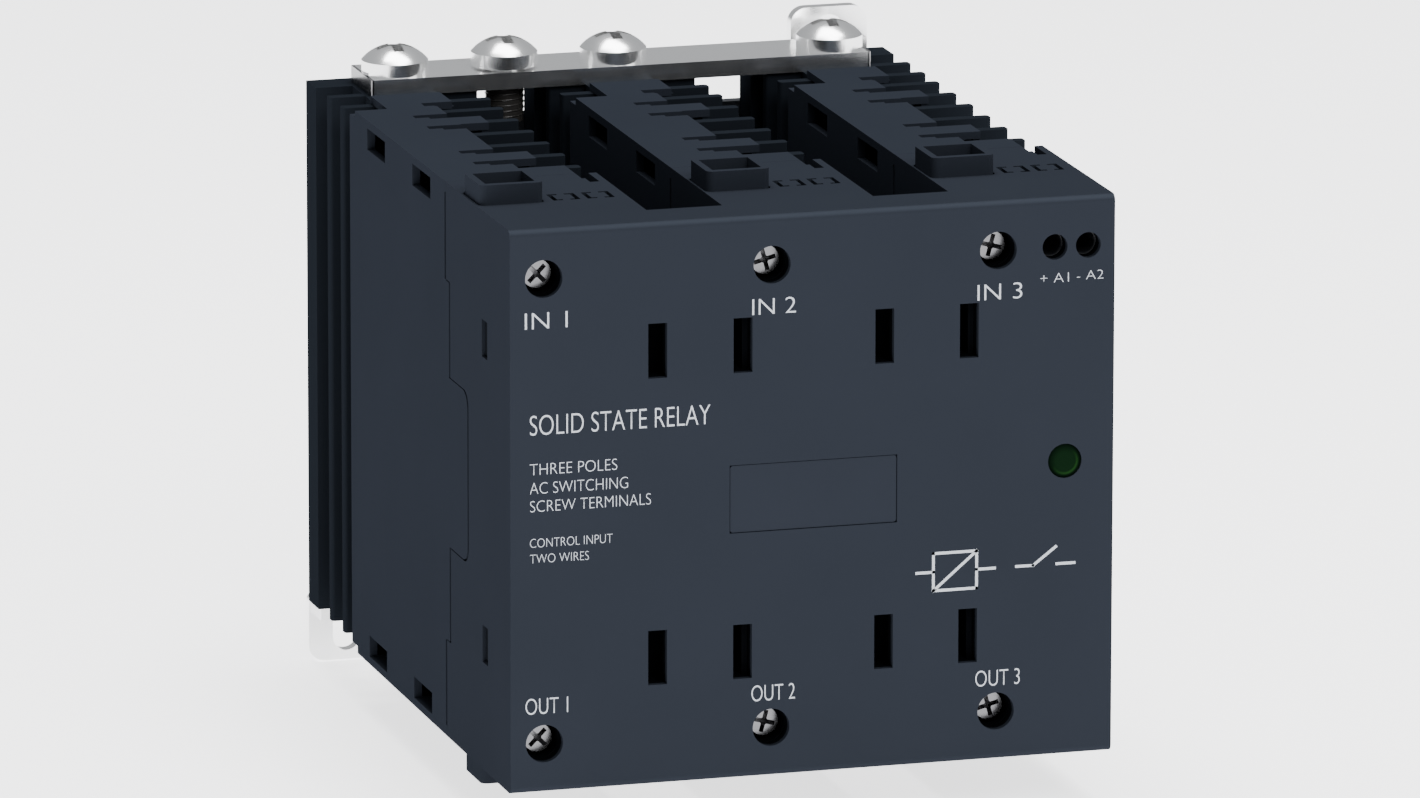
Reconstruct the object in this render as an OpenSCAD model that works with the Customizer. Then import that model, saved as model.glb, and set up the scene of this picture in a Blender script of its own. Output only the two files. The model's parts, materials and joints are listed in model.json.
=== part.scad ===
// Three-pole solid state relay: three slim pole modules with finned heat sinks,
// joined by one front cover, by steel brackets above and below, and by rail plates behind.
// X runs to the right, Y to the rear and Z up. The origin is the middle of the heat sinks' rear face.
// A depth is measured backwards from the front face, and a pole's own x starts at its left side.

/* [Modules] */
// Width of one pole module
module_w = 22.5; // [22.5:0.25:23.5]
// Distance from one module to the next
module_pitch = 33.75; // [33.5:0.25:36]
// Height of the plastic parts
body_h = 82.4; // [82:0.2:84]
// Height of the heat sinks
sink_h = 80; // [79:0.5:80]
// Depth from the front face to the heat sinks' rear face
body_d = 114; // [114:0.5:118]

/* [Front cover] */
// Thickness of the cover's front plate
plate_t = 2.4; // [2:0.1:2.5]
// Thickness of the cover's side walls and roof
wall = 1.2; // [1:0.1:1.2]
// Depth of the hood over each module
hood_d = 34.5; // [34:0.5:34.5]
// Depth of the web between two hoods
web_d = 8.3; // [8:0.1:9]
// Radius of the long edges of the front face
edge_r = 1; // [0.5:0.1:1.5]

/* [Power terminals] */
// Distance of a terminal screw from its module's left side
screw_x = 5; // [4.9:0.1:5.1]
// Height of the terminal screws above or below the middle
screw_z = 34; // [33.8:0.1:34.2]
// Radius of a terminal screw's head
screw_head_r = 2.5; // [2.3:0.1:2.5]
// Radius of a terminal screw's thread
screw_r = 2; // [1.8:0.1:2]
// Height of the collar round a wire entry
collar_h = 2.9; // [2:0.1:3.5]

/* [Heat sinks] */
// Thickness of a fin
fin_t = 2; // [1.6:0.1:2.2]
// Distance between the six front fins
fin_pitch = 8.44; // [8.3:0.02:8.5]
// Thickness of the plate that carries the power module
base_t = 3.5; // [3:0.1:3.5]

/* [Brackets and rail] */
// Thickness of the bracket bars
bar_t = 2.5; // [2:0.1:3]
// Half the length of the bracket bars
bar_half = 38.75; // [38:0.25:40]
// Thickness of the ears and the rail plates
rear_t = 2; // [1.8:0.1:2.2]
// Height of the mounting rail
rail_h = 35; // [34.8:0.1:35.2]

/* [Hidden] */
$fn = 48;
POLES = [1, 2, 3];

// Colours
slate = [0.17, 0.19, 0.23];
anodised = [0.13, 0.15, 0.19];
nickel = [0.78, 0.78, 0.79];
copper = [0.80, 0.47, 0.30];
board_green = [0.10, 0.33, 0.20];
black = [0.06, 0.06, 0.07];

// Overall sizes
front_w = 2*module_pitch + module_w;
half_h = body_h/2;
half_sink = sink_h/2;
roof_z = half_h - wall;         // underside of the roof
slip = 0.1;                     // gap between parts that slide together
big = 200;                      // longer than any part

// Cover
collar_x = [0.5, 9.9];          // outside of a wire collar, across
collar_d = [17.5, 26.8];        // outside of a wire collar, in depth
collar_wall = 1.05;
collar_r = 1;
collar_gap = 0.2;               // gap between a collar and the cover
screw_hole_r = 2.75;
slot_w = 2.8;                   // latch slots in the front face
slot_h = 8;
hook_z = 22.5;                  // height of the snap hooks above or below the middle
hook_d = [12.15, 15.05];        // window for a snap hook, in depth
hook_h = 5.5;
hood_notch_x = [19.4, 21.3];    // notch at the rear of the hood's roof
hood_notch_d = 31.2;
hood_slit = [19.9, 28.6];       // narrower front part of that notch: left side and front end
tab_z = 12.7;                   // housing tab in the hood's left wall
tab_d = 22.4;
tab_r = 2.5;
step_z = 26.8;
step_d = 32.3;
tab_gap = [0.65, 0.15];         // room round the tab, in depth and height
seam = [0.75, 0.8, 39.6];       // groove where the housing meets the hood: width, depth, half height
web_back_t = 1.5;
link_z = 9.5;                   // opening between hood and web for the control board
knock_x = [13.5, 18.6];         // knock-outs over the control terminals
knock_w = 3.35;
knock_d = 3.5;
knock_depth = 20;
knock_line = 0.65;
knock_bridge = 1.1;
lens_r = 2.5;
lens_pos = [37.7, 2.4];
mark_size = [25, 10, 0.8];

// Control terminals, in pole 3
control_x = [13.5, 18.5];
control_r = 1.875;

// Housing
front_box_x = [wall + slip, 19.4];
front_box_wall = 1;
front_gap = plate_t + 0.2;
mid_d = 40.4;                   // rear of the wide part of the housing
housing_d = 88.5;
roof_end_d = 95.1;
window = [10, 3.2];             // side windows, in depth and height
window_d = [48, 73.4];
window_z = 38.4;
pocket_x = 10.4;                // pocket for the control terminals
pocket_d = 28;
pocket_z = 25.2;

// Terminal block and cage, heights above the middle
block_x = 9.6;
block_d = 29;
block_z = 28;
chamber_x = [1.9, 8.1];
chamber_d = [8.4, 28];
chamber_z = [29.6, 37];
head_d = [3.8, 6.8];            // screw head, front and rear
head_bore_r = 2.7;
head_bore_d = 7.1;
shank_end_d = 16.3;
cage_w = 5.9;
cage_wall = 0.8;
cage_front_t = 2.2;
cage_d = [13.4, 26.3];
cage_z = [30.2, 36.4];
thread_gap = 0.05;
busbar_d = [16.6, 18.1];
busbar_w = 4;
busbar_z = [23.4, 36.8];        // lower face of the rear leg, upper end
busbar_t = 1.5;
busbar_rear_d = 54;
funnel_z = 39.9;

// Heat sink
fin_first_d = 44.6;
rear_fins_d = [93.9, 101.5];
fin_end_x = 22.9;
fin_edge_r = 0.5;
base_x = 9;
base_front_d = 42;
spine_x = [5.6, 16.4];
spine_front_d = 90;
rear_wall_d = 108.2;
port_pos = [11.25, 104.75];     // screw port for the brackets, x and depth
port_r = 2.5;

// Power module
power_x = [4.4, 8.6];
power_d = [48, 78];
power_z = 22.4;
power_screw_d = 63;
power_screw_z = 17;
power_screw_r = 1.5;

// Driver board and its components
board_x = [15.2, 16.4];
board_d = [6.5, 37.5];
board_z = 25.5;
link_d = [3.9, 5.1];            // control board, front and rear
link_x = [-41, 42.5];

// Brackets
bar_d = [99.5, 111.5];
bracket_screw_r = 2.45;
bracket_head_r = 5;
bracket_head_h = 4.3;
bracket_rim_h = 2;
bracket_recess = 5.6;
bracket_screw_l = 12;
earth_x = -module_pitch/2;
earth_r = 2.85;
earth_l = 8.5;
earth_gap = 0.3;                // the earth screw turns freely above the bar
ear_r = 2.5;
top_ear = [36.5, 41.15, 12, 11.1];        // middle x, middle z, width, height
top_hole = [36.5, 43.25, 2.25];           // x, z, radius
bottom_ear = [-39.2, -43.95, 11.6, 11.1];
bottom_slot = [-39.2, -46, -43, 2.1];     // x, lower and upper centre, radius
tongue_half = 4.8;

// Rail plates and latch
plate_half = 40;
plate_z = [16, 33];
lip_h = 1.7;
lip_gap = 1.05;                 // room for the rail's flange
lower_plate_z = 18;
latch_half = 8.5;
latch_z = [-46, -16];
latch_front = 0.15;
latch_travel = 3;
guide_x = 5.2;
guide_z = -30;
guide_r = 1.3;
guide_head_r = 2.2;
guide_head_t = 0.8;
spring_r = 2;
spring_wire_r = 0.3;
spring_turns = 6;
spring_z = [-35.6, -27.8];
spring_y = -0.4;
plate_screw_z = 25.3;
plate_screw_r = 1.5;
plate_screw_l = 4.3;            // length in the heat sink
lower_screw_x = [27.5, 37];     // screws of a lower plate, from the middle

// Position helpers
function pole_x(i) = -front_w/2 + (i - 1)*module_pitch;
function around(middle, half) = [middle - half, middle + half];
function grow(range, by) = [range[0] - by, range[1] + by];
module at_pole(i) translate([pole_x(i), 0, 0]) children();
module box(x, d, z) translate([x[0], d[0] - body_d, z[0]]) cube([x[1] - x[0], d[1] - d[0], z[1] - z[0]]);
module along_x(x0, x1) translate([x0, -body_d, 0]) rotate([90, 0, 90]) linear_extrude(x1 - x0) children();
module along_y(d0, d1) translate([0, d1 - body_d, 0]) rotate([90, 0, 0]) linear_extrude(d1 - d0) children();
module along_z(z0, z1) translate([0, -body_d, z0]) linear_extrude(z1 - z0) children();
module rod_y(x, z, r, d0, d1) along_y(d0, d1) translate([x, z]) circle(r);
module rod_z(x, d, r, z0, z1) along_z(z0, z1) translate([x, d]) circle(r);
module rod_x(d, z, r, x0, x1) along_x(x0, x1) translate([d, z]) circle(r);
module both_ends() {
    children();
    mirror([0, 0, 1]) children();
}
module rect(x, y) translate([x[0], y[0]]) square([x[1] - x[0], y[1] - y[0]]);
module soft_rect(x, y, r) {
    rect([x[0] + r, x[1] - r], y);
    rect(x, [y[0] + r, y[1] - r]);
    for (px = [x[0] + r, x[1] - r], py = [y[0] + r, y[1] - r]) translate([px, py]) circle(r);
}

// ---------- Front cover ----------
// Side view of the cover with its two rounded front edges
module front_profile(depth) {
    rect([edge_r, depth], [-half_h, half_h]);
    rect([0, depth], [edge_r - half_h, half_h - edge_r]);
    for (s = [-1, 1]) translate([edge_r, s*(half_h - edge_r)]) circle(edge_r);
}

// Cut in a hood's left wall that the housing's tab fills
module hood_tab_cut(gap) {
    rect([step_d + gap[0], big], [gap[1] - step_z, step_z - gap[1]]);
    soft_rect([tab_d + gap[0], big], [gap[1] - tab_z, tab_z - gap[1]], tab_r);
}

// Hole in the cover's roof for a wire collar
module collar_hole() {
    along_z(roof_z - wall, half_h + wall)
        soft_rect(grow(collar_x, collar_gap), grow(collar_d, collar_gap), collar_r);
}

// Outline of a knock-out: a ring cut through the roof, with two bridges that hold its middle
module knock_out(x) {
    along_z(roof_z - wall, half_h + wall) translate([x, knock_depth]) difference() {
        square([knock_w + knock_line, knock_d + knock_line], center = true);
        square([knock_w - knock_line, knock_d - knock_line], center = true);
        square([knock_bridge, big], center = true);
    }
}

module hood_cuts() {
    box([wall, module_w - wall], [plate_t, big], [-roof_z, roof_z]);
    along_x(-wall, wall + slip) hood_tab_cut([0, 0]);
    both_ends() {
        box(hood_notch_x, [hood_notch_d, big], [roof_z - wall, big]);
        box([hood_slit[0], hood_notch_x[1]], [hood_slit[1], big], [roof_z - wall, big]);
        rod_y(screw_x, screw_z, screw_hole_r, -wall, plate_t + wall);
        collar_hole();
        for (x = [[-wall, 2*wall], [module_w - 2*wall, module_w + wall]])
            box(x, hook_d, around(hook_z, hook_h/2));
    }
    for (x = knock_x) knock_out(x);
}

module front_cover() color(slate) difference() {
    union() {
        along_x(-front_w/2, front_w/2) front_profile(web_d);
        for (i = POLES) at_pole(i) along_x(0, module_w) front_profile(hood_d);
    }
    for (i = POLES) at_pole(i) hood_cuts();
    for (i = [1, 2]) at_pole(i) {
        box([module_w, module_pitch], [plate_t, web_d - web_back_t], [-roof_z, roof_z]);
        box([module_w - 2*wall, module_pitch + 2*wall], [plate_t, web_d - web_back_t], [-link_z, link_z]);
        for (x = [module_w - wall/2 - 0.1, module_pitch + wall/2 + 0.1], s = [-1, 1])
            box(around(x, slot_w/2), [-wall, web_d - web_back_t], around(s*hook_z, slot_h/2));
    }
    at_pole(3) for (x = control_x) rod_y(x, screw_z, control_r, -wall, plate_t + wall);
    rod_y(lens_pos[0], lens_pos[1], lens_r + 0.03, -wall, plate_t + wall);
    box([-mark_size[0]/2, mark_size[0]/2], [-wall, mark_size[2]], [-mark_size[1]/2, mark_size[1]/2]);
}

// Collars round the wire entries, standing on the terminal blocks and through the cover's roof
module wire_collars() color(slate) for (i = POLES) at_pole(i) both_ends()
    along_z(roof_z - slip, half_h + collar_h) difference() {
        soft_rect(collar_x, collar_d, collar_r);
        rect(grow(collar_x, -collar_wall), grow(collar_d, -collar_wall - 0.1));
    }

module marking_plate() color(slate)
    along_y(0.1, mark_size[2]) soft_rect([slip - mark_size[0]/2, mark_size[0]/2 - slip],
                                         [slip - mark_size[1]/2, mark_size[1]/2 - slip], 0.4);

module status_lens() color([0.08, 0.22, 0.10])
    translate([lens_pos[0], -body_d, lens_pos[1]]) rotate([-90, 0, 0]) {
        intersection() {
            cylinder(r = lens_r, h = plate_t + slip);
            translate([0, 0, 12]) sphere(12.05);
        }
        translate([0, 0, plate_t + slip]) cylinder(r = lens_r + 0.6, h = 0.5);
    }

module status_led() color([0.75, 0.8, 0.7])
    box(around(lens_pos[0], 1), [3.2, link_d[0]], around(lens_pos[1], 0.6));

// ---------- Module housing ----------
// Roof seen from above: fingers reach over the heat sink's fins, slits let the fins' tops breathe
module roof_outline() {
    difference() {
        union() {
            rect([0, front_box_x[1]], [hood_d + 0.05, mid_d]);
            rect([0, 12.5], [mid_d - 1, 85.4]);
            rect([4.9, 12.2], [85, 88.5]);
            rect([4.9, 15.5], [87.9, roof_end_d]);
            for (d = [[46.2, 51.3], [72.1, 76.9]]) rect([12, 16.8], d);
        }
        for (d = [43.5, 51.3, 69, 76.9]) {
            rect([9.2, 20], [d, d + 2.8]);
            rect([7.2, 10], [d + 1, d + 2.8]);
        }
        rect([10.7, 20], [85.8, 87.9]);
    }
}

// Side view of the funnel that leads a wire into its cage: its narrow and its wide end
module funnel_side(low, high) {
    top = funnel_z + 1;
    foot = chamber_z[1] - 0.5;
    polygon([[low[0], foot], [low[1], foot], [low[1], chamber_z[1]], [high[1], funnel_z], [high[1], top],
             [high[0], top], [high[0], funnel_z], [low[0], chamber_z[1]]]);
}

// One terminal's block, with the screw's bore, the cage's chamber and the funnel for the wire
module terminal_block() {
    box([front_box_x[0], block_x], [front_gap, block_d], [block_z, roof_z - slip]);
}

module terminal_cuts() {
    rod_y(screw_x, screw_z, head_bore_r, 0, head_bore_d);
    rod_y(screw_x, screw_z, screw_r + 0.2, head_bore_d - 1, chamber_d[0] + 1);
    box(chamber_x, chamber_d, chamber_z);
    box(around(screw_x, busbar_w/2 + 0.2), grow(busbar_d, 0.2), [block_z - 1, chamber_z[0] + 1]);
    intersection() {
        along_y(collar_d[0], collar_d[1]) funnel_side([2.8, 7.2], [1.6, 8.85]);
        along_x(front_box_x[0], block_x) funnel_side([18.5, 25.4], [18.65, 25.65]);
    }
}

// Snap hooks that hold the cover, on both sides
module snap_hooks() {
    z = around(hook_z, 2.4);
    d = [hook_d[0] + 0.25, hook_d[1] - 0.25];
    box([0.45, front_box_x[0] + 0.1], d, z);
    box([front_box_x[1] - 0.1, module_w - wall - slip], [d[0] - 3, d[1]], z);
    box([module_w - wall - 0.2, module_w - 0.45], d, z);
}

module housing(i) color(slate) at_pole(i) {
    difference() {
        union() {
            difference() {
                union() {
                    box(front_box_x, [front_gap, hood_d + 1], around(0, roof_z - slip));
                    box([0, front_box_x[1]], [hood_d + 0.05, mid_d], [-half_h, half_h]);
                    box([0, base_x + base_t], [mid_d - 1, housing_d], [-half_h, half_h]);
                    along_x(0, front_box_x[0] + 1) intersection() {
                        hood_tab_cut(tab_gap);
                        rect([0, hood_d + 1], [-half_h, half_h]);
                    }
                }
                box([front_box_x[0] + front_box_wall, front_box_x[1] - front_box_wall],
                    [front_gap + front_box_wall, mid_d - 1], around(0, roof_z - wall));
                box([wall, base_x - slip], [mid_d - 2, housing_d - wall], around(0, half_sink - slip));
                box([base_x - slip, big], [mid_d, big], around(0, half_sink + slip));
                both_ends() box([-1, big], [mid_d, big], [half_sink + slip, big]);
            }
            both_ends() {
                along_z(half_sink + slip, half_h) roof_outline();
                terminal_block();
                for (d = [[46.6, 50.9], [72.5, 76.5]])
                    box([15.8, 16.8], d, [half_sink - 1.5, half_sink + 0.5]);
            }
            both_ends() snap_hooks();
        }
        both_ends() {
            terminal_cuts();
            box([-1, 4.9], [85.4, big], [half_sink + slip, big]);
            for (d = window_d)
                box([-1, wall + 1], around(d, window[0]/2), around(window_z, window[1]/2));
        }
        both_ends() box([-1, seam[1]], [hood_d, hood_d + seam[0]], [step_z, seam[2]]);
        box([pocket_x, big], [0, pocket_d], [pocket_z, big]);
        box([-1, big], [0, link_d[1] + 0.3], [-link_z, link_z]);
    }
}

// ---------- Heat sink ----------
module fin(x, d) soft_rect(x, [d - fin_t/2, d + fin_t/2], fin_edge_r);

module sink_profile() {
    rect([base_x, base_x + base_t], [base_front_d, spine_front_d + 1]);
    rect(spine_x, [spine_front_d, rear_wall_d]);
    rect([0, module_w], [rear_wall_d, body_d]);
    for (k = [0:5]) fin([base_x + 1, fin_end_x], fin_first_d + k*fin_pitch);
    for (d = rear_fins_d) fin([0.1, fin_end_x], d);
}

module plate_screw_bore(x, z) rod_y(x, z, plate_screw_r, body_d - plate_screw_l - 0.2, body_d + 1);

module heat_sink(i) color(anodised) at_pole(i) difference() {
    along_z(-half_sink, half_sink) difference() {
        sink_profile();
        translate(port_pos) circle(port_r);
    }
    for (s = [-1, 1]) rod_x(power_screw_d, s*power_screw_z, power_screw_r, base_x - 1, base_x + base_t + 1);
    plate_screw_bore(module_w/2, plate_screw_z);
    if (i != 2) for (x = lower_screw_x)
        plate_screw_bore(i == 3 ? x - pole_x(3) : -x - pole_x(1), -plate_screw_z);
    if (i == 2) {
        for (s = [-1, 1]) rod_y(module_w/2 + s*guide_x, guide_z, guide_r - 0.3, body_d - 4.5, body_d + 1);
        box(around(module_w/2, spring_r + 0.3), [body_d - 2.8, body_d + 1], [spring_z[0], spring_z[1] + 0.2]);
    }
}

// ---------- Power module, pads and boards ----------
module power_module(i) color([0.20, 0.20, 0.22]) at_pole(i) difference() {
    union() {
        box(power_x, power_d, [-power_z, power_z]);
        for (s = [-1, 1]) box([power_x[0], power_x[1] - 1], [power_d[0], power_d[0] + 8],
                              s > 0 ? [power_z, busbar_z[0]] : [-busbar_z[0], -power_z]);
    }
    for (s = [-1, 1]) rod_x(power_screw_d, s*power_screw_z, power_screw_r + 0.2, 0, base_x);
}

module thermal_pads() color([0.75, 0.75, 0.78]) for (i = POLES) at_pole(i) difference() {
    box([power_x[1], base_x], [power_d[0] - 0.5, power_d[1] + 0.5], [-power_z - 0.5, power_z + 0.5]);
    for (s = [-1, 1]) rod_x(power_screw_d, s*power_screw_z, power_screw_r + 0.2, 0, base_x + 1);
}

module power_module_screws() color(nickel) for (i = POLES, s = [-1, 1]) at_pole(i) difference() {
    union() {
        rod_x(power_screw_d, s*power_screw_z, 2.75, power_x[0] - 1.8, power_x[0]);
        rod_x(power_screw_d, s*power_screw_z, power_screw_r - 0.05, power_x[0] - 0.5, base_x + base_t - 0.2);
    }
    for (a = [0, 90]) translate([power_x[0] - 1.8, power_screw_d - body_d, s*power_screw_z])
        rotate([a, 0, 0]) cube([2, 0.7, 3], center = true);
}

module driver_board(i) color(board_green) at_pole(i)
    box(board_x, board_d, [-board_z, board_z]);

module control_board() color(board_green)
    box(link_x, link_d, [1 - link_z, link_z - 1]);

module board_connectors() color(black) for (i = POLES) at_pole(i)
    box([board_x[0] - 2.2, board_x[0]], [link_d[1], 10], [-6, 6]);

module optocouplers() color(black) for (i = POLES) at_pole(i) {
    box([board_x[0] - 3.4, board_x[0] - 0.3], [13, 21], [-4.5, 2]);
    for (d = [14.4, 17, 19.6], z = [-5, 2.1])
        box([board_x[0] - 1.8, board_x[0]], around(d, 0.3), [z, z + 0.5]);
}

module varistors() color([0.10, 0.25, 0.55]) for (i = POLES) at_pole(i) {
    rod_x(21, 15.5, 7, board_x[0] - 5, board_x[0] - 0.8);
    for (d = [18, 24]) rod_x(d, 15.5, 0.4, board_x[0] - 1, board_x[0]);
}

module snubber_capacitors() color([0.75, 0.62, 0.12]) for (i = POLES) at_pole(i)
    box([board_x[0] - 6.5, board_x[0]], [11, 29], [-23, -10]);

module gate_resistors() color([0.62, 0.50, 0.36]) for (i = POLES, d = [26, 30]) at_pole(i) {
    rod_z(board_x[0] - 1.6, d, 1.1, -6, 0.5);
    for (z = [-8, 0.5]) rod_z(board_x[0] - 1.6, d, 0.3, z, z + 2);
    for (z = [-7.6, 2.1]) rod_x(d, z, 0.3, board_x[0] - 1.6, board_x[0]);
}

// Two insulated leads from each driver board to its power module
module gate_leads() color([0.80, 0.15, 0.12]) for (i = POLES, z = [-6, 6]) at_pole(i) {
    lead_r = 0.7;
    rod_x(35, z, lead_r, 6.5, board_x[0]);
    translate([6.5, 35 - body_d, z]) sphere(lead_r);
    rod_y(6.5, z, lead_r, 35, power_d[0]);
}

// ---------- Power terminals ----------
module busbar(i) at_pole(i) {
    x = around(screw_x, busbar_w/2);
    box(x, busbar_d, [busbar_z[0], busbar_z[1]]);
    box(x, [busbar_d[0], busbar_rear_d], [busbar_z[0], busbar_z[0] + busbar_t]);
}

module line_busbars() color(copper) for (i = POLES) busbar(i);
module load_busbars() color(copper) mirror([0, 0, 1]) for (i = POLES) busbar(i);

module terminal_cage(i) color(nickel) at_pole(i) difference() {
    box(around(screw_x, cage_w/2), cage_d, cage_z);
    box(around(screw_x, cage_w/2 - cage_wall), [cage_d[0] + cage_front_t, cage_d[1] - 1], [0, big]);
    rod_y(screw_x, screw_z, screw_r + thread_gap, cage_d[0] - 1, cage_d[0] + cage_front_t + 1);
}

// Cross recess, cut downwards from z = 0
module cross_recess(size, depth, arm_w) {
    for (a = [0, 90]) rotate(a) translate([0, 0, -depth/2]) cube([size, arm_w, 2*depth], center = true);
    translate([0, 0, -1.5*depth]) cylinder(r1 = size*0.1, r2 = size*0.25, h = 3*depth);
}

// Screw with a domed head, its head's underside at z = 0 and its shank downwards
module domed_screw(head_r, rim_h, head_h, shank_r, shank_l, recess) {
    dome_h = head_h - rim_h;
    dome_r = (head_r*head_r + dome_h*dome_h)/(2*dome_h);
    difference() {
        union() {
            intersection() {
                cylinder(r = head_r, h = head_h + 1);
                translate([0, 0, head_h - dome_r]) sphere(dome_r);
            }
            translate([0, 0, -shank_l]) cylinder(r = shank_r, h = shank_l + rim_h/2);
        }
        translate([0, 0, head_h]) cross_recess(recess, head_h*0.62, recess*0.28);
    }
}

// Screw with a flat head and a rounded edge, its head's underside at z = 0 and its shank downwards
module flat_screw(head_r, head_h, edge, shank_r, shank_l, recess) {
    difference() {
        union() {
            rotate_extrude() {
                square([head_r - edge, head_h]);
                square([head_r, head_h - edge]);
                translate([head_r - edge, head_h - edge]) circle(edge);
            }
            translate([0, 0, -shank_l]) cylinder(r = shank_r, h = shank_l + edge);
        }
        translate([0, 0, head_h]) cross_recess(recess, head_h*0.6, recess*0.2);
    }
}

// Each terminal's screw has stopped at an angle of its own
module terminal_screw(i) color(nickel) at_pole(i)
    translate([screw_x, head_d[1] - body_d, screw_z]) rotate([90, 30*i + 15, 0])
        flat_screw(screw_head_r, head_d[1] - head_d[0], 0.4, screw_r, shank_end_d - head_d[1], 3.3);

// ---------- Control terminals ----------
control_chamber_half = 2.25;
control_cage_half = 2.1;
control_block_x = [10.65, 21.15];
control_block_d = [2.7, 27.5];
control_block_z = [28.9, 39.8];
control_chamber_d = [11.9, 25];
control_chamber_z = [29.9, 36.4];
control_cage_d = [14.6, 24];
control_cage_z = [30.6, 35.6];
control_head_r = 1.6;
control_head_d = [9, 11];
control_screw_r = 1.25;
control_screw_end = 17.2;
control_contact_d = [17.5, 18.3];

module control_terminal_block() color(black) at_pole(3) difference() {
    box(control_block_x, control_block_d, control_block_z);
    for (x = control_x) {
        rod_y(x, screw_z, control_head_r + 0.15, 0, 11.2);
        rod_y(x, screw_z, control_screw_r + 0.15, 11, 13);
        box(around(x, control_chamber_half), control_chamber_d, control_chamber_z);
        box(around(x, 1.5), [18.4, 23.2], [control_chamber_z[1] - 1, big]);
        box(around(x, 1.3), grow(control_contact_d, 0.1), [0, control_chamber_z[0] + 1]);
    }
}

// A blade beside each control cage, with a foot that ends on the driver board
module control_contacts() color(copper) at_pole(3) for (k = [0, 1]) {
    blade = around(control_x[k], 1.2);
    foot = k == 0 ? [blade[0], board_x[0] + 0.5] : [board_x[1] - 0.5, blade[1]];
    box(blade, control_contact_d, [board_z, control_cage_z[1] + 0.4]);
    box(foot, control_contact_d, [board_z, board_z + 0.6]);
}

module control_cage(x) color(nickel) at_pole(3) difference() {
    box(around(x, control_cage_half), control_cage_d, control_cage_z);
    box(around(x, control_cage_half - 0.6), [control_cage_d[0] + 1.6, control_cage_d[1] - 0.7], [0, big]);
    rod_y(x, screw_z, control_screw_r + thread_gap, control_cage_d[0] - 1, control_cage_d[0] + 2);
}

module control_screw(x) color(nickel) at_pole(3)
    translate([x, control_head_d[1] - body_d, screw_z]) rotate([90, 0, 0])
        flat_screw(control_head_r, control_head_d[1] - control_head_d[0], 0.3, control_screw_r,
                   control_screw_end - control_head_d[1], 2.1);

// ---------- Brackets ----------
module bracket_bar() {
    along_z(half_sink, half_sink + bar_t) difference() {
        soft_rect([-bar_half, bar_half], bar_d, 0.3);
        for (i = POLES) translate([pole_x(i) + port_pos[0], port_pos[1]]) circle(port_r + 0.25);
    }
}

module ear(e) {
    along_y(body_d, body_d + rear_t) soft_rect(around(e[0], e[2]/2), around(e[1], e[3]/2), ear_r);
    box(around(e[0], tongue_half), [bar_d[1] - 1, body_d],
        e[1] > 0 ? [half_sink, half_sink + bar_t] : [-half_sink - bar_t, -half_sink]);
}

module top_bracket() color(nickel) difference() {
    union() {
        bracket_bar();
        ear(top_ear);
    }
    rod_y(top_hole[0], top_hole[1], top_hole[2], body_d - 1, body_d + rear_t + 1);
    rod_z(earth_x, port_pos[1], earth_r + thread_gap, half_sink - 1, half_sink + bar_t + 1);
}

module bottom_bracket() color(nickel) difference() {
    union() {
        mirror([0, 0, 1]) bracket_bar();
        ear(bottom_ear);
    }
    along_y(body_d - 1, body_d + rear_t + 1) {
        for (z = [bottom_slot[1], bottom_slot[2]]) translate([bottom_slot[0], z]) circle(bottom_slot[3]);
        rect(around(bottom_slot[0], bottom_slot[3]), [bottom_slot[1], bottom_slot[2]]);
    }
}

module bracket_screw(x, shank_r, shank_l) translate([x, port_pos[1] - body_d, half_sink + bar_t])
    domed_screw(bracket_head_r, bracket_rim_h, bracket_head_h, shank_r, shank_l, bracket_recess);

module bracket_screws() for (i = POLES)
    bracket_screw(pole_x(i) + port_pos[0], bracket_screw_r, bracket_screw_l);

module top_bracket_screws() color(nickel) bracket_screws();
module bottom_bracket_screws() color(nickel) mirror([0, 0, 1]) bracket_screws();
module earth_screw() color(nickel) translate([0, 0, earth_gap]) bracket_screw(earth_x, earth_r, earth_l);

// ---------- Rail plates and latch ----------
module countersunk(x, z) {
    rod_y(x, z, plate_screw_r + 0.15, body_d - 1, body_d + rear_t + 1);
    translate([x, 0.4, z]) rotate([-90, 0, 0]) cylinder(r1 = plate_screw_r, r2 = 3.1, h = rear_t - 0.4);
}

module upper_rail_plate() color(black) difference() {
    along_y(body_d, body_d + rear_t) soft_rect([-plate_half, plate_half], plate_z, 1);
    box([-big, big], [body_d - 1, body_d + lip_gap], [0, plate_z[0] + lip_h]);
    for (i = POLES) countersunk(pole_x(i) + module_w/2, plate_screw_z);
}

// Two plates, one on each side of the latch, level with the rail's lower flange
module lower_rail_plates() color(black) for (s = [-1, 1]) difference() {
    x = s > 0 ? [latch_half + 0.3, plate_half] : [-plate_half, -latch_half - 0.3];
    along_y(body_d, body_d + rear_t) soft_rect(x, [-plate_z[1], -lower_plate_z], 1);
    for (x = lower_screw_x) countersunk(s*x, -plate_screw_z);
}

module rail_plate_screw(x, z) translate([x, 0, z]) rotate([-90, 0, 0]) difference() {
    union() {
        translate([0, 0, -plate_screw_l]) cylinder(r = plate_screw_r - 0.05, h = plate_screw_l + 0.6);
        translate([0, 0, 0.45]) cylinder(r1 = plate_screw_r - 0.05, r2 = 2.9, h = rear_t - 0.55);
    }
    translate([0, 0, rear_t - 0.1]) cross_recess(3, 1.2, 0.8);
}

module rail_plate_screws() color(nickel) {
    for (i = POLES) rail_plate_screw(pole_x(i) + module_w/2, plate_screw_z);
    for (s = [-1, 1], x = lower_screw_x) rail_plate_screw(s*x, -plate_screw_z);
}

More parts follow.
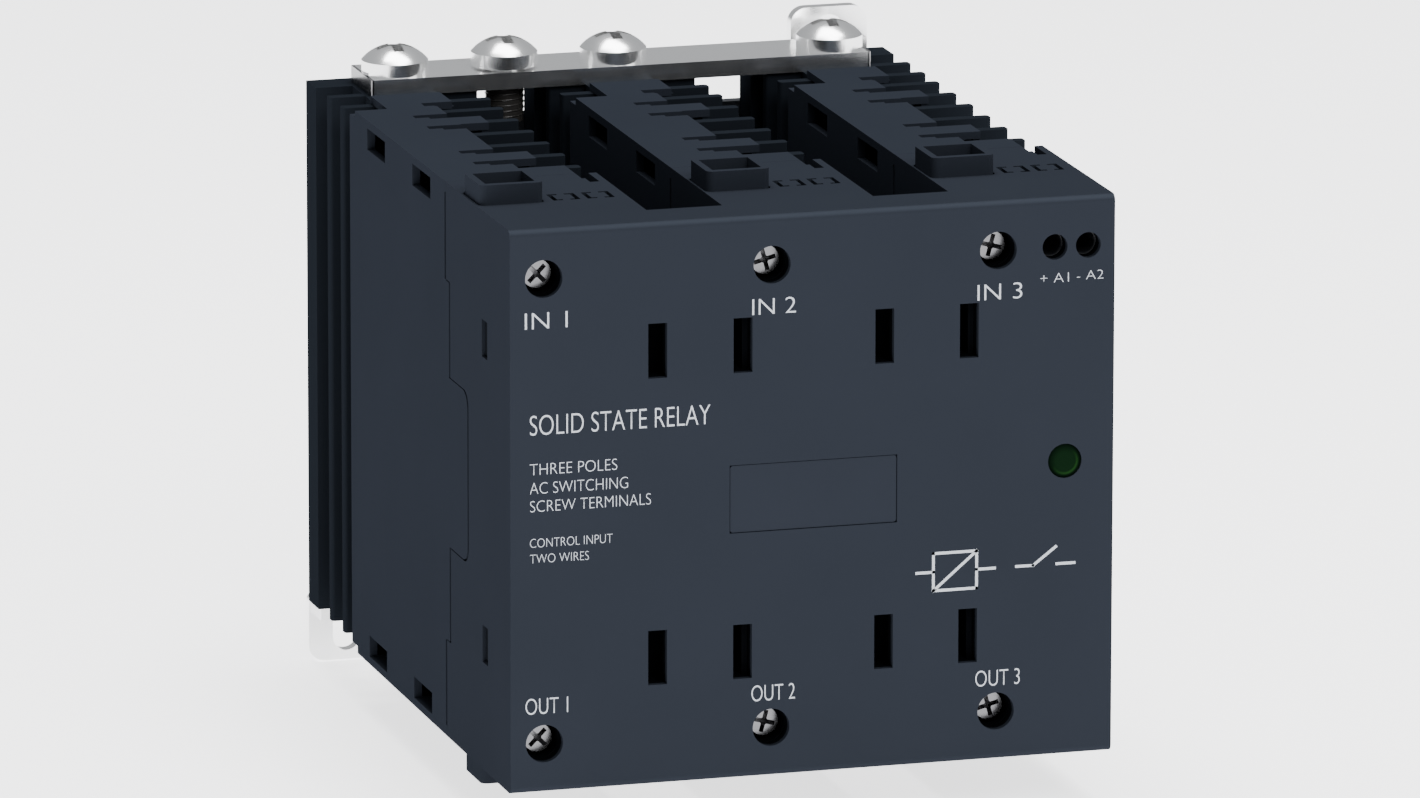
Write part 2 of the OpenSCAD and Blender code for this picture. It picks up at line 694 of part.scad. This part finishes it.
module rail_latch() color([0.70, 0.70, 0.72]) difference() {
    along_y(body_d + latch_front, body_d + rear_t) difference() {
        soft_rect([-latch_half, latch_half], latch_z, 1);
        for (s = [-1, 1]) {
            for (z = [guide_z, guide_z + latch_travel]) translate([s*guide_x, z]) circle(guide_r + 0.1);
            rect(around(s*guide_x, guide_r + 0.1), [guide_z, guide_z + latch_travel]);
        }
        rect([-spring_r - 0.3, spring_r + 0.3], [spring_z[0] - 0.6, spring_z[1] + 0.2]);
        soft_rect([-3, 3], [latch_z[0] + 1.4, latch_z[0] + 4], 0.8);
    }
    box([-big, big], [body_d - 1, body_d + lip_gap], [latch_z[1] - lip_h, 0]);
    for (s = [-1, 1]) {
        head_room = [body_d + 1.1, body_d + rear_t + 1];
        for (z = [guide_z, guide_z + latch_travel])
            rod_y(s*guide_x, z, guide_head_r + 0.15, head_room[0], head_room[1]);
        box(around(s*guide_x, guide_head_r + 0.15), head_room, [guide_z, guide_z + latch_travel]);
    }
}

module latch_guide_screws() color(nickel) for (s = [-1, 1]) {
    rod_y(s*guide_x, guide_z, guide_r - 0.35, body_d - 4, body_d);
    rod_y(s*guide_x, guide_z, guide_r, body_d, body_d + 1.2);
    rod_y(s*guide_x, guide_z, guide_head_r, body_d + 1.2, body_d + 1.2 + guide_head_t - 0.1);
}

// Compression spring as a stack of rings joined by short links, its axis upright
module latch_spring() color(nickel) translate([0, spring_y, 0]) {
    length = spring_z[1] - spring_z[0] - 2*spring_wire_r;
    step = length/(spring_turns - 1);
    ring_r = spring_r - spring_wire_r;
    for (k = [0:spring_turns - 1]) translate([0, 0, spring_z[0] + spring_wire_r + k*step])
        rotate_extrude() translate([ring_r, 0]) circle(spring_wire_r);
    for (k = [0:spring_turns - 2]) {
        side = k % 2 == 0 ? 1 : -1;
        translate([side*ring_r, 0, spring_z[0] + spring_wire_r + k*step])
            cylinder(r = spring_wire_r*0.8, h = step);
    }
}

front_cover();
wire_collars();
marking_plate();
status_lens();
status_led();
for (i = POLES) {
    housing(i);
    heat_sink(i);
    power_module(i);
    driver_board(i);
    terminal_cage(i);
    terminal_screw(i);
    mirror([0, 0, 1]) terminal_cage(i);
    mirror([0, 0, 1]) terminal_screw(i);
}
thermal_pads();
power_module_screws();
control_board();
board_connectors();
optocouplers();
varistors();
snubber_capacitors();
gate_resistors();
gate_leads();
line_busbars();
load_busbars();
control_terminal_block();
control_contacts();
for (k = [0, 1]) {
    control_cage(control_x[k]);
    control_screw(control_x[k]);
}
top_bracket();
bottom_bracket();
top_bracket_screws();
bottom_bracket_screws();
earth_screw();
upper_rail_plate();
lower_rail_plates();
rail_plate_screws();
rail_latch();
latch_spring();
latch_guide_screws();
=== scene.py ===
"""Studio scene of a three-pole solid state relay, in the same frame as its CAD model.

The CAD nodes keep their shapes and get materials and soft edges. The printed lettering, a relay
symbol, the latch's coil spring and the earth screw's thread are added as pieces of their own.
"""
import json
import math

import bpy
from mathutils import Matrix, Vector


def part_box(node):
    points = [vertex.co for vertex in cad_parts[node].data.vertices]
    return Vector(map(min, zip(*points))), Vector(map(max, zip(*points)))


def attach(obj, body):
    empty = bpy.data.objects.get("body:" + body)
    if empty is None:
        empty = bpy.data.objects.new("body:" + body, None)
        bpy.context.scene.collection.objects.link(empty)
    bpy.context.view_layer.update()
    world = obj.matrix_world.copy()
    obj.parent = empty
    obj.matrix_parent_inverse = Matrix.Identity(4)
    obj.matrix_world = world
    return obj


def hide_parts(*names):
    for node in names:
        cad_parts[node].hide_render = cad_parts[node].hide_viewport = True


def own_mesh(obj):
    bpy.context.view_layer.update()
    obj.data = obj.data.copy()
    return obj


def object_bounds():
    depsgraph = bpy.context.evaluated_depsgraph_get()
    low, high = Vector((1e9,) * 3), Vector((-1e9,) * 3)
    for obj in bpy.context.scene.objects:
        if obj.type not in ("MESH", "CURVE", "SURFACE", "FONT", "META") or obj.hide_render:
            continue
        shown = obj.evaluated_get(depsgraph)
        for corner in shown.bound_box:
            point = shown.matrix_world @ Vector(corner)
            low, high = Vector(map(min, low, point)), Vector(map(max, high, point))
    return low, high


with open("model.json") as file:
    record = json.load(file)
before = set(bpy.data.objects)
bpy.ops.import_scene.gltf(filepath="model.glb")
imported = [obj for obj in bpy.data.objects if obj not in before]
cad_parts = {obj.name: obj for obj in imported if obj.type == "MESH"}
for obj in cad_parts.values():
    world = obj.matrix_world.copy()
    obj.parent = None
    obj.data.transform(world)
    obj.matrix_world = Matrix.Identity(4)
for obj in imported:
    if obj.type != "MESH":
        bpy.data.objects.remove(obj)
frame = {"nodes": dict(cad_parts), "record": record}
cad_low, cad_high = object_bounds()

MM = 0.001
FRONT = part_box("front_cover")[0].y           # plane of the front face
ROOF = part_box("front_cover")[1].z / MM - 2   # just below the roof's underside, in millimetres
PAINT = 0.02 * MM                            # how far printing stands off the front face
SLOT = {s["node"]: s["material_slot"] for s in frame["record"]["subparts"]}    # by CAD node


# ---------- Materials ----------
CLOUD_SCALE = 55     # patches of uneven colour
RELIEF = 0.1 * MM    # height of the fine relief at full strength


def srgb(r, g, b):
    """A colour read off a screen, 0 to 255, as linear light."""
    def one(v):
        v /= 255
        return v / 12.92 if v <= 0.04045 else ((v + 0.055) / 1.055) ** 2.4
    return one(r), one(g), one(b)


def add(tree, kind, values=None, **settings):
    """Adds a shader node with the settings and the input values given."""
    node = tree.nodes.new("ShaderNode" + kind)
    for setting, value in settings.items():
        setattr(node, setting, value)
    for socket, value in (values or {}).items():
        node.inputs[socket].default_value = value
    return node


def join(tree, *pairs):
    """Links the output of each pair to its input."""
    for output, socket in pairs:
        tree.links.new(output, socket)


def material(name, colour, rough, metal=0.0, coat=0.0, vary=0.06, grain=2500, bump=0.02,
             stretch=(1, 1, 1), rough_vary=0.06, spec=0.5, transmission=0.0, glow=0.0):
    """A surface with slightly uneven colour, gloss and relief, all worked out from noise."""
    m = bpy.data.materials.new(name)
    m.use_nodes = True
    tree = m.node_tree
    shader = tree.nodes["Principled BSDF"]
    where = add(tree, "TexCoord")
    place = add(tree, "Mapping", {"Scale": stretch})
    cloud = add(tree, "TexNoise", {"Scale": CLOUD_SCALE, "Detail": 4})
    tone = add(tree, "Mix", {"A": (*[c * (1 - vary) for c in colour], 1),
                             "B": (*[min(1, c * (1 + vary)) for c in colour], 1)},
               data_type="RGBA")
    fine = add(tree, "TexNoise", {"Scale": grain, "Detail": 3})
    gloss = add(tree, "MapRange", {"To Min": max(0.02, rough - rough_vary),
                                   "To Max": min(1, rough + rough_vary)})
    relief = add(tree, "Bump", {"Strength": bump, "Distance": RELIEF})
    join(tree,
         (where.outputs["Object"], place.inputs["Vector"]),
         (place.outputs["Vector"], cloud.inputs["Vector"]),
         (cloud.outputs["Fac"], tone.inputs["Factor"]),
         (tone.outputs["Result"], shader.inputs["Base Color"]),
         (place.outputs["Vector"], fine.inputs["Vector"]),
         (fine.outputs["Fac"], gloss.inputs["Value"]),
         (gloss.outputs["Result"], shader.inputs["Roughness"]),
         (fine.outputs["Fac"], relief.inputs["Height"]),
         (relief.outputs["Normal"], shader.inputs["Normal"]))
    for socket, value in (("Metallic", metal), ("Coat Weight", coat),
                          ("Transmission Weight", transmission), ("Specular IOR Level", spec),
                          ("Emission Color", (*colour, 1)), ("Emission Strength", glow)):
        shader.inputs[socket].default_value = value
    return m


# Each material's colour in linear light, its roughness and what else sets it apart
LOOKS = {
    "cover_plastic": ((0.0162, 0.0190, 0.0252), 0.68, dict(bump=0.05, spec=0.0)),
    "housing_plastic": ((0.0162, 0.0191, 0.0254), 0.70, dict(bump=0.05, spec=0.0)),
    "marking_plastic": ((0.0168, 0.0196, 0.0260), 0.62, dict(bump=0.03, spec=0.001)),
    "anodised_aluminium": ((0.0095, 0.0116, 0.0152), 0.55,
                           dict(spec=0.0, grain=900, bump=0.04, stretch=(1, 1, 0.04))),
    "module_plastic": ((0.04, 0.04, 0.045), 0.6, {}),
    "circuit_board": ((0.02, 0.12, 0.05), 0.35, dict(coat=0.4, vary=0.25, grain=700)),
    "plated_steel": ((0.93, 0.93, 0.93), 0.22,
                     dict(metal=1.0, grain=400, bump=0.002, rough_vary=0.03, vary=0.02)),
    "terminal_steel": ((0.13, 0.13, 0.135), 0.20,
                       dict(metal=1.0, grain=900, bump=0.008, rough_vary=0.04, vary=0.05)),
    "dark_steel": ((0.035, 0.036, 0.04), 0.5, dict(metal=1.0)),
    "thermal_pad": ((0.45, 0.46, 0.50), 0.8, {}),
    "black_plastic": ((0.012, 0.013, 0.016), 0.45, {}),
    "varistor_coating": ((0.02, 0.08, 0.35), 0.3, dict(coat=0.3)),
    "capacitor_case": ((0.55, 0.40, 0.03), 0.4, {}),
    "resistor_coating": ((0.45, 0.30, 0.15), 0.5, dict(vary=0.2)),
    "lead_insulation": ((0.45, 0.02, 0.015), 0.45, {}),
    "copper": ((0.78, 0.42, 0.25), 0.28, dict(metal=1.0, vary=0.12)),
    "black_steel": ((0.02, 0.022, 0.026), 0.5, dict(coat=0.03, spec=0.12)),
    "latch_steel": ((0.48, 0.48, 0.49), 0.36,
                    dict(metal=1.0, grain=1500, stretch=(1, 1, 0.05), bump=0.05)),
    "spring_steel": ((0.50, 0.50, 0.52), 0.28, dict(metal=1.0)),
    "led_body": ((0.55, 0.62, 0.50), 0.2, dict(transmission=0.4)),
    "lens": (srgb(16, 58, 26), 0.3, dict(bump=0.0, spec=0.0)),
    "ink": (srgb(172, 176, 182), 0.6, {}),
}
MATERIALS = {name: material(name, colour, rough, **more)
             for name, (colour, rough, more) in LOOKS.items()}


LENS_RADIUS = 2.5 * MM
LENS_MIDDLE, LENS_RIM = srgb(9, 24, 12), srgb(4, 11, 6)
ARC_COLOUR = srgb(19, 45, 18)
ARC_LEAN = (0.62, 0, -0.78)    # from the middle of the lens towards the middle of the arc
ARC_ENDS = (-0.25, 0.7)        # where along that lean the arc starts, and where it is full


def lens_arc():
    """Light inside the lens gathers in a thin arc near its rim, at the lower right."""
    tree = MATERIALS["lens"].node_tree
    low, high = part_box("status_lens")
    where = add(tree, "TexCoord")
    gap = add(tree, "VectorMath", {1: (low + high) / 2}, operation="SUBTRACT")
    flat = add(tree, "VectorMath", {1: (1 / LENS_RADIUS, 0, 1 / LENS_RADIUS)},
               operation="MULTIPLY")
    size = add(tree, "VectorMath", operation="LENGTH")
    lean = add(tree, "VectorMath", {1: ARC_LEAN}, operation="DOT_PRODUCT")
    side = add(tree, "MapRange", {"From Min": ARC_ENDS[0], "From Max": ARC_ENDS[1]})
    arc = add(tree, "Math", operation="MULTIPLY")
    tone = add(tree, "Mix", {"B": (*ARC_COLOUR, 1)}, data_type="RGBA")
    ring = add(tree, "ValToRGB")
    body = add(tree, "ValToRGB")
    join(tree,
         (where.outputs["Object"], gap.inputs[0]),
         (gap.outputs["Vector"], flat.inputs[0]),
         (flat.outputs["Vector"], size.inputs[0]),
         (flat.outputs["Vector"], lean.inputs[0]),
         (size.outputs["Value"], ring.inputs["Fac"]),
         (size.outputs["Value"], body.inputs["Fac"]),
         (lean.outputs["Value"], side.inputs["Value"]),
         (ring.outputs["Color"], arc.inputs[0]),
         (side.outputs["Result"], arc.inputs[1]),
         (arc.outputs["Value"], tone.inputs["Factor"]),
         (body.outputs["Color"], tone.inputs["A"]),
         (tone.outputs["Result"], tree.nodes["Principled BSDF"].inputs["Base Color"]))
    # positions on both ramps are parts of the lens's radius
    start, end = ring.color_ramp.elements
    start.position, start.color = 0.62, (0, 0, 0, 1)
    end.position, end.color = 0.86, (0, 0, 0, 1)
    ring.color_ramp.elements.new(0.74).color = (1, 1, 1, 1)
    start, end = body.color_ramp.elements
    start.position, start.color = 0.55, (*LENS_MIDDLE, 1)
    end.position, end.color = 0.95, (*LENS_RIM, 1)


def mix_in(name, factor, colour):
    """Mixes a second colour into a material's own; factor is the socket that says how much."""
    tree = MATERIALS[name].node_tree
    base = tree.nodes["Principled BSDF"].inputs["Base Color"]
    tone = add(tree, "Mix", {"B": (*colour, 1)}, data_type="RGBA")
    join(tree, (base.links[0].from_socket, tone.inputs["A"]), (factor, tone.inputs["Factor"]),
         (tone.outputs["Result"], base))


EDGE_LEAN = (0, -0.62, 0.785)    # which way the middle of the cover's upper edge faces
# colour of the painted highlight on the cover's upper edge
EDGE_HIGHLIGHT_COLOUR = (0.0245, 0.029, 0.038)


def paint_edge_highlight():
    """Painted highlight: the cover's upper rounded edge is coloured a little lighter, where light
    from above would shine on it.
    """
    tree = MATERIALS["cover_plastic"].node_tree
    where = add(tree, "TexCoord")
    lean = add(tree, "VectorMath", {1: EDGE_LEAN}, operation="DOT_PRODUCT")
    much = add(tree, "MapRange", {"From Min": 0.84, "From Max": 1})
    join(tree, (where.outputs["Normal"], lean.inputs[0]),
         (lean.outputs["Value"], much.inputs["Value"]))
    mix_in("cover_plastic", much.outputs["Result"], EDGE_HIGHLIGHT_COLOUR)


def inside(name, low, high, colour, dull=False):
    """Gives a material another colour inside a box, in millimetres of the model's frame.

    Where it is also dull, it doesn't shine like metal there.
    """
    tree = MATERIALS[name].node_tree
    where = add(tree, "TexCoord")
    gap = add(tree, "VectorMath", {1: [(a + b) / 2 * MM for a, b in zip(low, high)]},
              operation="SUBTRACT")
    size = add(tree, "VectorMath", operation="ABSOLUTE")
    part = add(tree, "VectorMath", {1: [(b - a) / 2 * MM for a, b in zip(low, high)]},
               operation="DIVIDE")
    split = add(tree, "SeparateXYZ")
    wider = add(tree, "Math", operation="MAXIMUM")
    widest = add(tree, "Math", operation="MAXIMUM")
    within = add(tree, "Math", {1: 1}, operation="LESS_THAN")
    join(tree,
         (where.outputs["Object"], gap.inputs[0]),
         (gap.outputs["Vector"], size.inputs[0]),
         (size.outputs["Vector"], part.inputs[0]),
         (part.outputs["Vector"], split.inputs["Vector"]),
         (split.outputs["X"], wider.inputs[0]),
         (split.outputs["Y"], wider.inputs[1]),
         (wider.outputs["Value"], widest.inputs[0]),
         (split.outputs["Z"], widest.inputs[1]),
         (widest.outputs["Value"], within.inputs[0]))
    mix_in(name, within.outputs["Value"], colour)
    if dull:
        shine = add(tree, "Math", {0: 1}, operation="SUBTRACT")
        join(tree, (within.outputs["Value"], shine.inputs[1]),
             (shine.outputs["Value"], tree.nodes["Principled BSDF"].inputs["Metallic"]))


# colour of the painted shade on the screw shanks
SHANK_SHADE = (0.027, 0.0255, 0.024)
BAR_END_COLOUR = (0.16, 0.16, 0.165)
WINDOW_SHADE = (0.006, 0.007, 0.009)
DARK_INSIDE = (0.003, 0.0035, 0.0045)
FACE = FRONT / MM    # plane of the front face, in millimetres

# Painted highlight along the cover's upper rounded edge
paint_edge_highlight()
# Painted shade: the bracket screws' shanks lie in shade, so they are coloured dark and kept from
# shining like metal; their heads are bright
inside("plated_steel", (-60, -20, -39.9), (60, -0.6, 39.9), SHANK_SHADE, dull=True)
# The bars' cut ends are bare and less bright
for x0, x1 in ((-39.5, -38.3), (38.3, 39.5)):
    inside("plated_steel", (x0, -15, 39.9), (x1, -1.9, 43), BAR_END_COLOUR)
# The snap hooks' faces lie in shade at the bottom of their windows
for x0, x1 in ((-44.9, -44.2), (44.2, 44.9)):
    inside("housing_plastic", (x0, FACE + 12, -30), (x1, FACE + 15.2, 30), WINDOW_SHADE)
# Hardly any light reaches the space behind the front face
for name in ("cover_plastic", "housing_plastic"):
    inside(name, (-43, FACE + 1.0, -ROOF), (43, FACE + 9.5, ROOF), DARK_INSIDE)
lens_arc()

# A CAD node takes the material of its slot; the terminal screws are darker than their slot's
FINISH = {f"{side}_screw_{i}": "terminal_steel" for side in ("line", "load") for i in (1, 2, 3)}
FINISH.update({f"control_screw_{i}": "dark_steel" for i in (1, 2)})
for node, obj in frame["nodes"].items():
    obj.data.materials.clear()
    obj.data.materials.append(MATERIALS[FINISH.get(node, SLOT[node])])

# Soft edges, as moulding and stamping leave them: the width of each node's, in millimetres
EDGES = {"front_cover": 0.22, "marking_plate": 0.05, "top_bracket": 0.25, "bottom_bracket": 0.25,
         "upper_rail_plate": 0.2, "lower_rail_plates": 0.2, "rail_latch": 0.15}
for i in (1, 2, 3):
    EDGES[f"module_housing_{i}"] = 0.18
    EDGES[f"heat_sink_{i}"] = 0.12
SHARPEST = math.radians(40)    # edges that turn less than this stay as they are
for node, width in EDGES.items():
    soft = frame["nodes"][node].modifiers.new("soft_edges", "BEVEL")
    soft.width = width * MM
    soft.segments = 2
    soft.limit_method = "ANGLE"
    soft.angle_limit = SHARPEST
    soft.use_clamp_overlap = True
    soft.harden_normals = True


# ---------- Pieces ----------
def show(name, data):
    """A new object in the scene, made of a mesh, curve, text, lamp or camera."""
    obj = bpy.data.objects.new(name, data)
    bpy.context.collection.objects.link(obj)
    return obj


def from_faces(name, verts, faces):
    """A new mesh object."""
    mesh = bpy.data.meshes.new(name)
    mesh.from_pydata(verts, [], faces)
    return show(name, mesh)


def keep(obj, body, slot, name):
    """Names a piece, gives it its material and makes it ride on a CAD body."""
    obj.name = name
    obj.data.materials.clear()
    obj.data.materials.append(MATERIALS[slot])
    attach(obj, body)
    return obj


def as_mesh(obj):
    """Puts a mesh object in the place of a text object that stands at the origin."""
    out = show(obj.name, bpy.data.meshes.new_from_object(obj))
    bpy.data.objects.remove(obj)
    return out


SMALL = 2                         # lettering up to this height, in millimetres, is drawn thinner
THIN, THINNER = -0.012, -0.02     # how far strokes are drawn in, as a part of the text's size


def lettering(words, x0, x1, z0, height, name):
    """Printed words on the front face between x0 and x1, standing on z0, in millimetres."""
    data = bpy.data.curves.new(name, "FONT")
    data.body = words
    data.offset = THIN if height > SMALL else THINNER
    obj = show(name, data)
    bpy.context.view_layer.update()
    xs = [c[0] for c in obj.bound_box]
    ys = [c[1] for c in obj.bound_box]
    left, wide, foot, tall = min(xs), max(xs) - min(xs), min(ys), max(ys) - min(ys)
    sx, sz = (x1 - x0) / wide * MM, height / tall * MM
    obj = as_mesh(obj)
    # text lies in its own XY plane; it is stood up to face the front
    obj.data.transform(Matrix((
        (sx, 0, 0, x0 * MM - left * sx),
        (0, 0, -1, FRONT - PAINT),
        (0, sz, 0, z0 * MM - foot * sz),
        (0, 0, 0, 1))))
    return keep(obj, "base", "ink", name)


# Words, left and right end, foot and height in millimetres, and the piece's name
MARKS = [
    ("IN 1", -42.8, -36.5, 26.8, 2.35, "mark_line_1"),
    ("IN 2", -9.2, -2.7, 26.8, 2.35, "mark_line_2"),
    ("IN 3", 24.4, 31.1, 26.8, 2.35, "mark_line_3"),
    ("OUT 1", -42.8, -36.5, -29.6, 2.35, "mark_load_1"),
    ("OUT 2", -9.2, -2.7, -30.0, 2.35, "mark_load_2"),
    ("OUT 3", 24.4, 31.1, -30.2, 2.35, "mark_load_3"),
    ("+ A1", 33.8, 38.1, 28.8, 1.35, "mark_control_1"),
    ("- A2", 39.3, 43.3, 28.9, 1.35, "mark_control_2"),
    ("SOLID STATE RELAY", -42.1, -15.4, 11.3, 2.9, "mark_type"),
    ("THREE POLES", -42.1, -29.2, 5.5, 1.65, "mark_note_1"),
    ("AC SWITCHING", -42.1, -27.6, 2.75, 1.65, "mark_note_2"),
    ("SCREW TERMINALS", -42.1, -24.2, 0.1, 1.65, "mark_note_3"),
    ("CONTROL INPUT", -42.1, -29.9, -5.1, 1.3, "mark_note_4"),
    ("TWO WIRES", -42.1, -33.4, -7.4, 1.3, "mark_note_5"),
]
for mark in MARKS:
    lettering(*mark)


def strokes(lines, width, name):
    """Thin printed lines on the front face, each a list of (x, z) points in millimetres."""
    verts, faces = [], []
    for line in lines:
        for a, b in zip(line, line[1:]):
            a, b = Vector(a), Vector(b)
            along = (b - a).normalized() * width / 2
            side = Vector((-along.y, along.x))
            k = len(verts)
            for corner in (a + side - along, b + side + along, b - side + along, a - side - along):
                verts.append((corner.x * MM, FRONT - PAINT, corner.y * MM))
            faces.append((k, k + 1, k + 2, k + 3))
    return keep(from_faces(name, verts, faces), "base", "ink", name)


# Circuit symbol of a relay: a control box on the left and a switch on the right
SYMBOL = [
    [(18, -15.5), (18, -10), (24.5, -10), (24.5, -15.5), (18, -15.5)],
    [(18, -15.5), (24.5, -10)],
    [(15.5, -12.75), (18, -12.75)],
    [(24.5, -12.75), (27.2, -12.75)],
    [(30.5, -12.75), (33, -12.75), (36.4, -10.2)],
    [(36.6, -12.75), (39.2, -12.75)],
]
SYMBOL_LINE = 0.42
strokes(SYMBOL, SYMBOL_LINE, "mark_symbol")


PER_TURN = 24    # steps in each turn of a wound wire


def helix(radius, turns, wire, foot, height, name, sides=8):
    """A round wire, wire in radius, wound upwards from foot round a vertical axis."""
    verts, faces = [], []
    count = turns * PER_TURN + 1
    for k in range(count):
        a = 2 * math.pi * k / PER_TURN
        z = foot[2] + height * k / (count - 1)
        out = Vector((math.cos(a), math.sin(a), 0))
        mid = Vector(foot[:2] + (0,)) + out * radius
        for s in range(sides):
            b = 2 * math.pi * s / sides
            p = mid + out * wire * math.cos(b)
            verts.append((p.x, p.y, z + wire * math.sin(b)))
    for k in range(0, (count - 1) * sides, sides):
        for s in range(sides):
            t = (s + 1) % sides
            faces.append((k + s, k + t, k + sides + t, k + sides + s))
    last = (count - 1) * sides
    faces += [tuple(range(sides - 1, -1, -1)), tuple(range(last, last + sides))]
    obj = from_faces(name, verts, faces)
    obj.data.update()
    obj.data.polygons.foreach_set("use_smooth", [True] * len(faces))
    return obj


# Round-wire coil in place of the CAD's rings
COIL_WIRE, COIL_TURNS = 0.3 * MM, 6
low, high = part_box("latch_spring")
mid = (low + high) / 2
coil = helix((high.x - low.x) / 2 - COIL_WIRE, COIL_TURNS, COIL_WIRE,
             (mid.x, mid.y, low.z + COIL_WIRE), high.z - low.z - 2 * COIL_WIRE, "latch_coil")
keep(coil, "base", "spring_steel", "latch_coil")
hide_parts("latch_spring")
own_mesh(coil)

# Thread that shows on the earth screw, in the gap between two modules
THREAD_RADIUS, THREAD_RIDGE, THREAD_TURNS = 2.82 * MM, 0.17 * MM, 9
THREAD_START, THREAD_LENGTH = 0.3 * MM, 7.7 * MM
low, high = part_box("earth_screw")
mid = (low + high) / 2
thread = helix(THREAD_RADIUS, THREAD_TURNS, THREAD_RIDGE,
               (mid.x, mid.y, low.z + THREAD_START), THREAD_LENGTH, "earth_thread", sides=6)
keep(thread, "earth_screw", "plated_steel", "earth_thread")

# ---------- Floor, light and camera ----------
FLOOR_GAP = 0.2 * MM    # between the lowest point and the floor
FLOOR_SIZE, FLOOR_BACK = 12, 3    # how wide it is and how far back its middle lies, in metres
floor_look = material("floor", (0.93, 0.93, 0.94), 0.9, vary=0.01, bump=0.0, rough_vary=0.02,
                      grain=30, glow=2.2)
bpy.ops.mesh.primitive_plane_add(size=FLOOR_SIZE,
                                 location=(0, FLOOR_BACK, cad_low.z - FLOOR_GAP))
floor = bpy.context.object
floor.name = "floor"
floor.data.materials.append(floor_look)


def lamp(name, place, aim, size, power):
    """A rectangular lamp at place, facing aim; metres and watts."""
    data = bpy.data.lights.new(name, "AREA")
    data.shape, data.size, data.size_y = "RECTANGLE", *size
    data.energy = power
    obj = show(name, data)
    obj.location = place
    obj.rotation_euler = (Vector(aim) - Vector(place)).to_track_quat("-Z", "Y").to_euler()


lamp("key", (0.15, -1.2, 0.85), (0, -0.06, 0), (0.8, 0.5), 12)
lamp("fill", (0.9, -0.8, 0.3), (0, -0.06, 0), (0.6, 0.6), 3)
lamp("top", (0.05, 0.0, 1.0), (0, -0.05, 0), (0.8, 0.6), 18)
world = bpy.data.worlds.new("studio")
bpy.context.scene.world = world
world.use_nodes = True
sky = world.node_tree.nodes["Background"].inputs
sky["Color"].default_value = (0.95, 0.97, 1, 1)
sky["Strength"].default_value = 0.5

# Camera fitted to the photo: its direction, then where it stands in millimetres, then its lens
AZ, EL, ROLL = map(math.radians, (16.3056, 13.2091, 0.0747))
TARGET_DEPTH, DISTANCE, SHIFT_RIGHT, SHIFT_UP = -64, 1989.04, -0.7863, 2.6098
FOCAL_PIXELS, PHOTO_WIDTH, SENSOR = 13582.1, 1420, 36

back = Vector((-math.sin(AZ) * math.cos(EL), -math.cos(AZ) * math.cos(EL), math.sin(EL)))
right = Vector((math.cos(AZ), -math.sin(AZ), 0))
up = back.cross(right)
right, up = (right * math.cos(ROLL) + up * math.sin(ROLL),
             up * math.cos(ROLL) - right * math.sin(ROLL))
eye = (Vector((0, TARGET_DEPTH * MM, 0)) + back * DISTANCE * MM
       + right * SHIFT_RIGHT * MM + up * SHIFT_UP * MM)
optics = bpy.data.cameras.new("camera")
optics.sensor_width = SENSOR
optics.lens = FOCAL_PIXELS * SENSOR / PHOTO_WIDTH
optics.clip_start, optics.clip_end = 0.05, 50
camera = show("camera", optics)
camera.matrix_world = Matrix((
    (right.x, up.x, back.x, eye.x),
    (right.y, up.y, back.y, eye.y),
    (right.z, up.z, back.z, eye.z),
    (0, 0, 0, 1)))
bpy.context.scene.camera = camera
